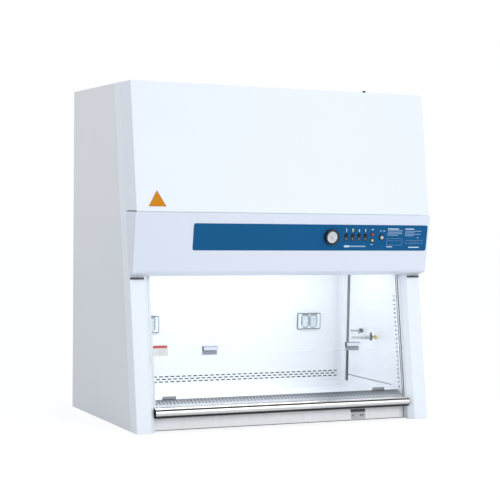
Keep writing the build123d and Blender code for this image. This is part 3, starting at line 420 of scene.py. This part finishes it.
rocker_moulding = moulding("rocker_moulding", colour(14, 17, 22), 0.3, shade=rocker_halves)
print("rockers at X", [round(rocker_first + i * rocker_pitch, 4) for i in range(4)])

# %% [markdown]
# ## Sash pulls
# A pull is a bent strip: its top flange lies in its own shade, and the lip in front of it catches the
# light. In an evenly lit studio the two would come out alike, so each gets a painted tone. The pulls
# lean with the front, so the mask measures from the leaning plane of the glass, not straight back.

# %% Sash pulls
lean = radians(9.53)
rise = tan(lean)
front_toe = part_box("front_post_left")[0][1]
glass_set_back = 0.0235  # the glass stands this far behind the leaning front
pull_back = front_toe + glass_set_back
pull_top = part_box("sash_handles")[1][2]


def pull_faces(part, tone):
    """The pull's top flange is in its own shade; the lip in front of it is bright."""
    z = part.axis("Z")
    lip = part.axis("Y") - z * rise - pull_back < -0.0145
    flange = (z > pull_top - 0.0055) * (1 - lip)
    shaded = part.mix(flange, tone, colour(62, 68, 78))
    return part.mix(lip * (z < pull_top - 0.002), shaded, colour(206, 210, 226))


pull_coat = moulding("pull_coat", colour(138, 146, 158), 0.32, metallic=0.2, shade=pull_faces)
print("the front leans back", round(1000 * rise), "mm in a metre")

# %% [markdown]
# ## Service taps
# The taps are bright metal. The front one has a yellow-green cone at the wall, as gas taps are marked.
# A mask on the place colours the cone alone: it is the stretch nearest the wall, on the tap that
# stands further forward.

# %% Service taps
cone_start, between_taps = 0.5635, -0.05


def tap_cone(part, tone):
    """The front tap's cone at the wall is yellow-green."""
    cone = (part.axis("X") > cone_start) * (part.axis("Y") < between_taps)
    return part.mix(cone, tone, colour(196, 190, 84))


tap_coat = moulding("tap_coat", colour(172, 178, 182), 0.18, metallic=0.9, shade=tap_cone)
print("cone from X", cone_start)

# %% [markdown]
# ## Sash glass
# The sash is thick clear glass: almost nothing is seen of its face, but its ground edges gather the
# green of the whole pane. Real refraction would need many bounces and leave the chamber dark and
# noisy. Here most light goes straight through by the alpha, and a mask on the place makes the side
# edges nearly solid and the bottom edge faint.

# %% Sash glass
glass_low, glass_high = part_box("sash_glass")
pane = Finish("sash_pane", roughness=0.02, IOR=1.5)
side_edge = abs(pane.axis("X")) > glass_high[0] - 0.0004
bottom_edge = pane.axis("Z") < glass_low[2] + 0.0016
edge = side_edge | (bottom_edge * 0.16)
pane.feed("Base Color", pane.mix(edge, colour(238, 244, 248), colour(92, 112, 112)))
pane.feed("Alpha", 0.06 + edge * 0.86)
pane.feed("Roughness", 0.02 + pane.noise(9.0) * 0.02)
print("glass from", [round(v, 3) for v in glass_low], "to", [round(v, 3) for v in glass_high])

# %% [markdown]
# ## Gauge lens and outlet flaps
# Both are clear plastic, made see-through in the same way as the glass. A flap is a shallow moulding
# with a thicker rim, which looks greyer because more plastic is in the way, and its top carries a
# dark strip at the hinge. The two flaps of an outlet share one mask, folded about its middle.

# %% Lens and flaps
lens = Finish("clear_lens", roughness=0.03, IOR=1.49)
lens.feed("Base Color", lens.mix(lens.noise(40.0), colour(240, 246, 250), colour(228, 236, 242)))
lens.feed("Alpha", 0.1 + lens.noise(60.0) * 0.04)

flap_low, flap_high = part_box("flap_right_a")
flap_middle, flap_half = 0.021, 0.0155  # from the outlet's middle, and its clear half width
flap = Finish("clear_flap", roughness=0.12, IOR=1.49)
flap_z = flap.axis("Z")
hinge_strip = flap_z > flap_high[2] - 0.005
beside = abs(abs(abs(flap.axis("X")) - outlet_x) - flap_middle) > flap_half
rim = beside | (flap_z < flap_low[2] + 0.004)
plastic = flap.mix(rim, colour(236, 244, 250), colour(128, 146, 160))
flap.feed("Base Color", flap.mix(hinge_strip, plastic, colour(58, 66, 72)))
flap.feed("Alpha", 0.3 + flap.noise(50.0) * 0.1 + rim * 0.3 + hinge_strip * 0.3)
print("see-through:", lens.material.name, flap.material.name)

# %% [markdown]
# ## The two tubes
# The fluorescent tube under the chamber's ceiling is lit, as it is whenever the cabinet is in use, and
# the ultraviolet one is off. Each has a metal cap at both ends, found by a mask on X. The glow is an
# emission on the tube's own surface, so it goes wherever the tube goes.

# %% Tubes
cap_length = 0.02
cap_grey = colour(150, 154, 158)


def end_caps(tube, box):
    """A mask for the metal caps at a tube's two ends."""
    return abs(tube.axis("X")) > box[1][0] - cap_length


lit = Finish("lit_tube", roughness=0.3, Emission_Strength=4.0)
lit_caps = end_caps(lit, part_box("lamp_tube"))
lit.feed("Base Color", lit.mix(lit_caps, colour(250, 250, 250), cap_grey))
lit.feed("Emission Color", lit.mix(lit_caps, (0.9, 0.96, 1.0, 1.0), (0.0, 0.0, 0.0, 1.0)))

dark = Finish("dark_tube", roughness=0.15)
dark.feed("Base Color", dark.mix(end_caps(dark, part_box("uv_tube")), colour(214, 224, 232), cap_grey))
print("tubes:", lit.material.name, dark.material.name)

# %% [markdown]
# ## The blue label
# The label is a printed sheet with a satin skin. It hardly mirrors anything, so the shader's specular
# level is low, and a slow drift between two blues keeps it from looking flat.

# %% Label sheet
sheet = Finish("label_blue", roughness=0.45, Specular_IOR_Level=0.12)
sheet.feed("Base Color", sheet.mix(sheet.noise(3.0), colour(15, 92, 143), colour(13, 89, 139)))
sheet.feed("Roughness", 0.42 + sheet.noise(300.0) * 0.06)
sheet.relief(sheet.noise(900.0), 0.000004)
print("label sheet:", sheet.material.name)

# %% [markdown]
# ## Indicator lamps
# The two small lamps on the label are one group of solids. They could be split, but a mask on the
# height does as well: red above, amber below. The distance from each lamp's own middle gives a
# painted highlight in the centre and the dark rim, and adding the gap between them to the mask moves
# that middle up.

# %% Indicator lamps
lamp_low, lamp_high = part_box("indicator_lamps")
lamp_x, lamp_radius = (lamp_low[0] + lamp_high[0]) / 2, (lamp_high[0] - lamp_low[0]) / 2
lamp_bottom, lamp_top = lamp_low[2] + lamp_radius, lamp_high[2] - lamp_radius
highlight_radius, cap_radius = 0.0026, 0.006
caps = Finish("lamp_caps", roughness=0.22, Coat_Weight=0.4)
caps_z = caps.axis("Z")
upper = caps_z > (lamp_low[2] + lamp_high[2]) / 2
off_x = caps.axis("X") - lamp_x
off_z = caps_z - lamp_bottom - upper * (lamp_top - lamp_bottom)
radius = (off_x * off_x + off_z * off_z) ** 0.5
# The lighter disc in each lamp's centre is a painted highlight.
red = caps.mix(radius < highlight_radius, colour(168, 34, 38), colour(226, 120, 116))
amber = caps.mix(radius < highlight_radius, colour(206, 178, 74), colour(246, 236, 184))
caps.feed("Base Color", caps.mix(radius > cap_radius, caps.mix(upper, amber, red), colour(34, 44, 52)))
print("lamps at z", round(lamp_bottom, 4), "and", round(lamp_top, 4))

# %% [markdown]
# ## Dressing the solid pieces
# Every piece of the frame came with a plain material in a named slot. A table from slots to finishes
# dresses them all in one loop, and three pieces that share a slot with others but look different have
# a finish of their own. The shapes are left as they are.

# %% Put the finishes on
finishes = {
    "body_paint": body_coat_shaded, "cover_paint": cover_coat_lit, "fascia_paint": fascia_coat_shaded, "post_paint": post_coat_lit,
    "liner_steel": liner_steel, "sill_steel": sill_steel, "nose_steel": nose_steel, "galvanised": zinc_sheet,
    "label_blue": sheet.material, "seal_dark": seal_rubber, "black_plastic": black_moulding,
    "gauge_shell": gauge_shell, "gauge_glass": lens.material, "needle_red": pointer_red,
    "rocker_plastic": rocker_moulding, "lamp_caps": caps.material, "key_metal": turned_metal,
    "outlet_grey": outlet_moulding, "flap_clear": flap.material, "tap_white": tap_coat,
    "tap_dark": lever_moulding, "sash_glass": pane.material, "pull_grey": pull_coat,
    "filter_pack": filter_paper, "cast_weight": cast_iron, "tube_glass": dark.material,
    "latch_dark": latch_moulding,
}
own_finish = {"lamp_tube": lit.material, "key_ring": black_moulding, "front_grille": grille_steel}
for part in frame["record"]["subparts"]:
    material = own_finish.get(part["node"], finishes[part["material_slot"]])
    for place in frame["nodes"][part["node"]].material_slots:
        place.material = material

# %% [markdown]
# ## Flat print
# Print, stickers and the gauge's dial are thin and flat. They could be pictures on the surface, but a
# picture blurs up close, so they are laid on as hair-thin plates with crisp edges. A plate is drawn in
# the plane of what carries it: u runs across and v runs up that face. One helper lays a list of
# plates, one lays a disc, and one puts the finished piece in the collection and on its body.

# %% Helpers for thin plates
def face_plane(origin, tilt):
    """Matrix of a face that looks to the front: X across, Y up the face, Z out of it."""
    out = Vector((0, -cos(tilt), -sin(tilt)))
    up_face = Vector((0, -sin(tilt), cos(tilt)))
    turned = Matrix((Vector((1, 0, 0)), up_face, out)).transposed().to_4x4()
    return Matrix.Translation(origin) @ turned


def plates(shape, plane, boxes, thick):
    """Thin rectangular plates (u, v, wide, high) on a plane."""
    for u, v, wide, high in boxes:
        size = Matrix.Diagonal((wide, high, thick, 1.0))
        bmesh.ops.create_cube(shape, size=1.0, matrix=plane @ Matrix.Translation((u, v, thick / 2)) @ size)


def disc(shape, plane, u, v, radius, thick, sides=48):
    """A thin round plate on a plane."""
    bmesh.ops.create_cone(shape, cap_ends=True, segments=sides, radius1=radius, radius2=radius, depth=thick,
                          matrix=plane @ Matrix.Translation((u, v, thick / 2)))


def settle(name, shape, material, body, slot):
    """Turn a finished bmesh into a piece that rides on a body."""
    bmesh.ops.remove_doubles(shape, verts=shape.verts, dist=1e-7)
    bmesh.ops.recalc_face_normals(shape, faces=shape.faces)
    mesh = bpy.data.meshes.new(name)
    shape.to_mesh(mesh)
    shape.free()
    mesh.materials.append(material)
    piece = bpy.data.objects.new(name, mesh)
    bpy.context.collection.objects.link(piece)
    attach(piece, body)
    print(name, len(mesh.polygons), "faces")


print("helpers:", ", ".join(helper.__name__ for helper in (face_plane, plates, disc, settle)))

# %% [markdown]
# ## Measuring on the label
# A printer's drawing of the label gives places in millimetres, across from the cabinet's middle and
# up from its base. The label leans, so a height has to be stretched a little to run up its face. These
# helpers do that, so the tables below can be read straight off such a drawing.

# %% Places on the label
fascia_tilt = radians(7.276)
label_y, label_z, label_film = -0.37239, 0.776, 0.001
label_face = face_plane(Vector((0, label_y, label_z)), fascia_tilt)
label_plane = label_face @ Matrix.Translation((0, 0, label_film))


def up(z):
    """Distance up the label of a height above the base."""
    return (z / 1000 - label_z) / cos(fascia_tilt)


def line(left, right, z, high):
    """One plain bar of print between two places across the label, in millimetres."""
    return ((left + right) / 2000, up(z), (right - left) / 1000, high / 1000)


def outline(left, right, bottom, top, width):
    """Four thin bars around a drawing, in millimetres."""
    upright_bars = [(side / 1000, up((top + bottom) / 2), width / 1000, (top - bottom) / 1000)
                    for side in (left, right)]
    return [line(left, right, top, width), line(left, right, bottom, width)] + upright_bars


print("a height of 800 mm is", round(1000 * up(800), 2), "mm up the label")

# %% [markdown]
# ## Small print
# At this distance small print is only a grey line, so each line is a plain pale bar with that line's
# length, and each drawing is a simple outline with a bar in it. All of them share one thin film of
# ink and one piece.

# %% Small print
pale_print = moulding("pale_print", colour(150, 182, 214), 0.45, depth=0.000003)
small_print = bmesh.new()
lines = [line(288, 365, 740, 5.5)]
for left, column in ((467, ((542, 807), (536, 800.5), (540, 794), (520, 787.5))),
                     (553, ((633, 805), (600, 798.5), (630, 792), (596, 785.5)))):
    lines += [line(left, right, z, 2.6) for right, z in column]
lines += outline(467, 542, 746, 773, 0.9) + [line(470, 538, 764, 0.7)]
lines += outline(559, 642, 752, 766, 0.9) + [line(575, 627, 759, 0.7)]
plates(small_print, label_plane, lines, 0.00015)
settle("label_lines", small_print, pale_print, "fascia", "label_blue")

# %% [markdown]
# ## Headings and switch marks
# Headings and the marks over the switches are whiter than the lines, so they are a second piece in a
# brighter ink. The mark over the lamp switch is a small yellow bulb: a disc on a short neck.

# %% Headings and marks
white_print = moulding("white_print", colour(216, 230, 244), 0.45, depth=0.000003)
headings = bmesh.new()
plates(headings, label_plane, [line(*bar) for bar in (
    (262, 287, 740, 8.0), (467, 521, 814, 4.2), (553, 596, 814, 4.2), (467, 495, 738.5, 3.4),
    (575, 627, 736.5, 4.2), (389, 398, 747.5, 2.8), (430, 436, 805, 3.6), (446, 453, 805, 3.6),
    (267.4, 270.6, 805, 9.0), (327.4, 331.8, 806, 11.0), (326, 333, 802, 2.0),
    (358.4, 361.6, 805, 9.0), (389, 398, 811, 4.0),
)], 0.00018)
for dot_u, dot_z in ((0.6175, 777.5), (0.269, 811.5), (0.360, 811.5)):
    disc(headings, label_plane, dot_u, up(dot_z), 0.0022, 0.00018, 20)
settle("label_marks", headings, white_print, "fascia", "label_blue")

yellow_print = moulding("yellow_print", colour(206, 214, 90), 0.45, depth=0.000003)
bulb = bmesh.new()
disc(bulb, label_plane, 0.2993, up(810), 0.0044, 0.00018, 28)
plates(bulb, label_plane, [line(296.8, 301.8, 802.5, 4.6)], 0.0002)
settle("label_bulb", bulb, yellow_print, "fascia", "label_blue")

# %% [markdown]
# ## The pressure gauge's dial
# Behind its lens the gauge has a white dial with a greyer field in its middle, at the bottom of a wide
# black case. Both are discs in the case's recess, the field a hair higher than the dial, because two
# faces in one plane would flicker.

# %% Gauge dial
gauge_u, gauge_v, gauge_floor = 0.198, 0.0032, 0.009
dial_plane = label_plane @ Matrix.Translation((gauge_u, gauge_v, gauge_floor))
dial_white = moulding("dial_white", colour(252, 252, 250), 0.5, depth=0.000003, drift=0.97)
dial_grey = moulding("dial_grey", colour(222, 226, 224), 0.5, depth=0.000003)
for name, radius, thick, ink in (("gauge_dial", 0.0243, 0.0001, dial_white),
                                 ("gauge_field", 0.0172, 0.00016, dial_grey)):
    face = bmesh.new()
    disc(face, dial_plane, 0, 0, radius, thick, 64)
    settle(name, face, ink, "fascia", "gauge_shell")

# %% [markdown]
# ## The dial's graduations
# The graduations are short bars round the pointer's axle, five degrees apart, with a longer one every
# fifth. Each is the same bar, moved out along X and then turned, which is easier than working out
# where each of them ends.

# %% Graduations
axle = Matrix.Translation((0, -0.004, 0))
first_angle, angle_step, graduations = 140, 5, 21
marks = bmesh.new()
for step in range(graduations):
    turned_to = axle @ Matrix.Rotation(radians(first_angle - angle_step * step), 4, "Z")
    reach, length = (0.0215, 0.0034) if step % 5 == 0 else (0.021, 0.002)
    plates(marks, dial_plane @ turned_to, [(reach, 0, length, 0.0004)], 0.00024)
settle("gauge_marks", marks, black_moulding, "fascia", "gauge_shell")

# %% [markdown]
# ## The triangle on the cover
# A plain orange triangle sits low on the cover's left, with a darker rim. A cone with three sides and
# no taper is a three-cornered plate, so the disc helper makes it, and a scale gives it its width and
# height. The field is the same plate again, a little smaller about its centre and a hair thicker.

# %% Triangle
triangle_low, triangle_high, triangle_x, triangle_half = 0.894, 0.958, -0.577, 0.0379
cover_reach = 0.115  # the cover stands this far in front of the leaning front


def front_at(height):
    """Y of the leaning front face at a height, in metres."""
    return front_toe + rise * height


def triangle(inset, thick):
    """A thin three-sided plate, inset evenly from the sticker's outline."""
    shape = bmesh.new()
    tall = (triangle_high - triangle_low) / cos(lean)
    foot = Vector((triangle_x, front_at(triangle_low) - cover_reach, triangle_low))
    wide, high = triangle_half / sin(radians(60)), tall / 1.5
    size = Matrix.Diagonal((wide * (1 - inset), high * (1 - inset), 1.0, 1.0))
    centred = face_plane(foot, -lean) @ Matrix.Translation((0, tall / 3, 0)) @ size
    disc(shape, centred, 0, 0, 1.0, thick, sides=3)
    return shape


orange = moulding("sticker_orange", colour(222, 140, 0), 0.4, depth=0.000004, Specular_IOR_Level=0.12)
amber_rim = moulding("sticker_rim", colour(186, 112, 12), 0.4, depth=0.000004)
settle("triangle_rim", triangle(0.0, 0.0002), amber_rim, "cabinet", "cover_paint")
settle("triangle_field", triangle(0.14, 0.0003), orange, "cabinet", "cover_paint")

# %% [markdown]
# ## The sash's sticker
# A small white sticker lies on the glass, low on the left, with a red header, a thin red edge and four
# grey bars. It lies in the plane of the glass and rides on the sash, so it rises with it.

# %% Sash sticker
sticker_white = moulding("sticker_white", colour(240, 240, 242), 0.45, depth=0.000004)
sticker_red = moulding("sticker_red", colour(204, 92, 84), 0.45, depth=0.000004)
sticker_grey = moulding("sticker_grey", colour(206, 206, 212), 0.45, depth=0.000004)
sash_z = 0.298
sash_face = face_plane(Vector((0, front_at(sash_z) + glass_set_back, sash_z)), -lean)
sticker_u, sticker_wide = -0.5435, 0.063
red_bars = [(sticker_u, 0.0378, sticker_wide, 0.0113), (sticker_u, 0.0034, sticker_wide, 0.0008),
            (-0.5123, 0.0232, 0.0008, 0.0405)]
grey_bars = [(-0.536, 0.0265 - 0.0052 * i, 0.036, 0.0016) for i in range(4)]
for name, ink, thick, boxes in (
    ("sash_sticker", sticker_white, 0.00015, [(sticker_u, 0.0232, sticker_wide, 0.0405)]),
    ("sash_sticker_header", sticker_red, 0.00025, red_bars),
    ("sash_sticker_lines", sticker_grey, 0.00025, grey_bars),
):
    film = bmesh.new()
    plates(film, sash_face, boxes, thick)
    settle(name, film, ink, "sash", "label_blue")

# %% [markdown]
# ## The sill's plate
# A pale plate on the right of the sill panel carries a dark band and three small dark marks. They are
# plates again, in the sill's own leaning plane.

# %% Sill plate
sill_z, sill_set_back = 0.0045, 0.0545
sill_face = face_plane(Vector((0, front_at(sill_z) + sill_set_back, sill_z)), -lean)
plate_u, plate_wide = 0.3575, 0.071
pale_plate = bmesh.new()
plates(pale_plate, sill_face, [(plate_u, 0.0214, plate_wide, 0.0425)], 0.0003)
settle("sill_plate", pale_plate, sticker_grey, "cabinet", "sill_steel")
plate_print = bmesh.new()
band = (plate_u, 0.0366, plate_wide, 0.012)
small_marks = [(0.328 + place, 0.0165, wide, 0.008)
               for place, wide in ((0.004, 0.005), (0.041, 0.006), (0.052, 0.006))]
plates(plate_print, sill_face, [band] + small_marks, 0.0004)
settle("sill_plate_print", plate_print, latch_moulding, "cabinet", "sill_steel")

# %% [markdown]
# ## The world
# The cabinet stands in front of nothing at all. A brighter world would turn the background white, but
# it would wash out the cabinet's own shades of white too. So the world has two strengths: the camera,
# reflections and the view through glass see plain white, and only what lights the cabinet is dimmer
# and a touch blue.

# %% World
world = bpy.data.worlds.new("studio_world")
bpy.context.scene.world = world
sky = Nodes(world)
sky.tree.nodes.clear()
sky_light = 0.78
seen = sky.ray("Is Camera Ray") | sky.ray("Is Glossy Ray") | sky.ray("Is Transmission Ray")
lighting = sky.node("ShaderNodeBackground", inputs={"Color": (0.93, 0.96, 1.0, 1.0), "Strength": sky_light})
backdrop = sky.node("ShaderNodeBackground", inputs={"Color": (1, 1, 1, 1), "Strength": 1.0})
both = sky.node("ShaderNodeMixShader", inputs={0: seen, 1: lighting, 2: backdrop})
sky.node("ShaderNodeOutputWorld", inputs={"Surface": both})
print("world light", sky_light)

# %% [markdown]
# ## The floor
# A matt white floor catches the cabinet's shadow, but by its own light it would look grey next to the
# white world. So to the camera it is part matt and part glowing: the glow lifts it to white, and the
# matt part keeps a soft shadow. It lies half a millimetre low, so it never touches the base.

# %% Floor
floor_reach, floor_drop = 30.0, 0.0005
glow_share, glow_strength = 0.62, 1.22
floor_mesh = bpy.data.meshes.new("floor")
flat = bmesh.new()
bmesh.ops.create_grid(flat, x_segments=1, y_segments=1, size=floor_reach)
flat.to_mesh(floor_mesh)
flat.free()
floor = bpy.data.objects.new("floor", floor_mesh)
floor.location.z = -floor_drop
bpy.context.collection.objects.link(floor)

floor_white = bpy.data.materials.new("floor_white")
ground = Nodes(floor_white)
ground.tree.nodes.clear()
seen = ground.ray("Is Camera Ray") * glow_share | ground.ray("Is Transmission Ray")
matt = ground.node("ShaderNodeBsdfDiffuse", inputs={"Color": (0.86, 0.86, 0.86, 1)})
glow = ground.node("ShaderNodeEmission", inputs={"Strength": glow_strength})
both = ground.node("ShaderNodeMixShader", inputs={0: seen, 1: matt, 2: glow})
ground.node("ShaderNodeOutputMaterial", inputs={"Surface": both})
floor_mesh.materials.append(floor_white)
print("floor", round(2 * floor_reach), "m wide, glowing", glow_share, "to the camera")

# %% [markdown]
# ## Lamps
# A large soft lamp in front, on the right, makes the front brighter than the side and leaves only
# soft shadows. The tube in the chamber is real, but a glowing mesh lights its surroundings slowly and
# with noise, so an oblong lamp just under the ceiling gives most of the chamber's light. The camera
# doesn't see that lamp.

# %% Lamps
def soft_lamp(name, place, aim, wide, deep, power, tint):
    """A large oblong lamp that looks at a point, in metres and watts."""
    data = bpy.data.lights.new(name, "AREA")
    data.shape = "RECTANGLE"
    data.size, data.size_y = wide, deep
    data.energy, data.color = power, tint
    lamp = bpy.data.objects.new(name, data)
    direction = Vector(aim) - Vector(place)
    lamp.matrix_world = Matrix.Translation(place) @ direction.to_track_quat("-Z", "Y").to_matrix().to_4x4()
    bpy.context.collection.objects.link(lamp)
    print(name, power, "W")
    return lamp


soft_lamp("key_lamp", (1.8, -5.0, 2.5), (0, 0, 0.7), 3.0, 3.0, 74.0, (0.95, 0.98, 1.0))
chamber_lamp = soft_lamp("chamber_lamp", (0, -0.06, 0.705), (0, -0.02, 0), 1.0, 0.30, 3.0, (0.98, 0.985, 1.0))
chamber_lamp.visible_camera = False
bpy.context.scene.view_settings.view_transform = "Standard"

# %% [markdown]
# ## Finish
# The scene is brought up to date once more.

# %% Finish
bpy.context.view_layer.update()
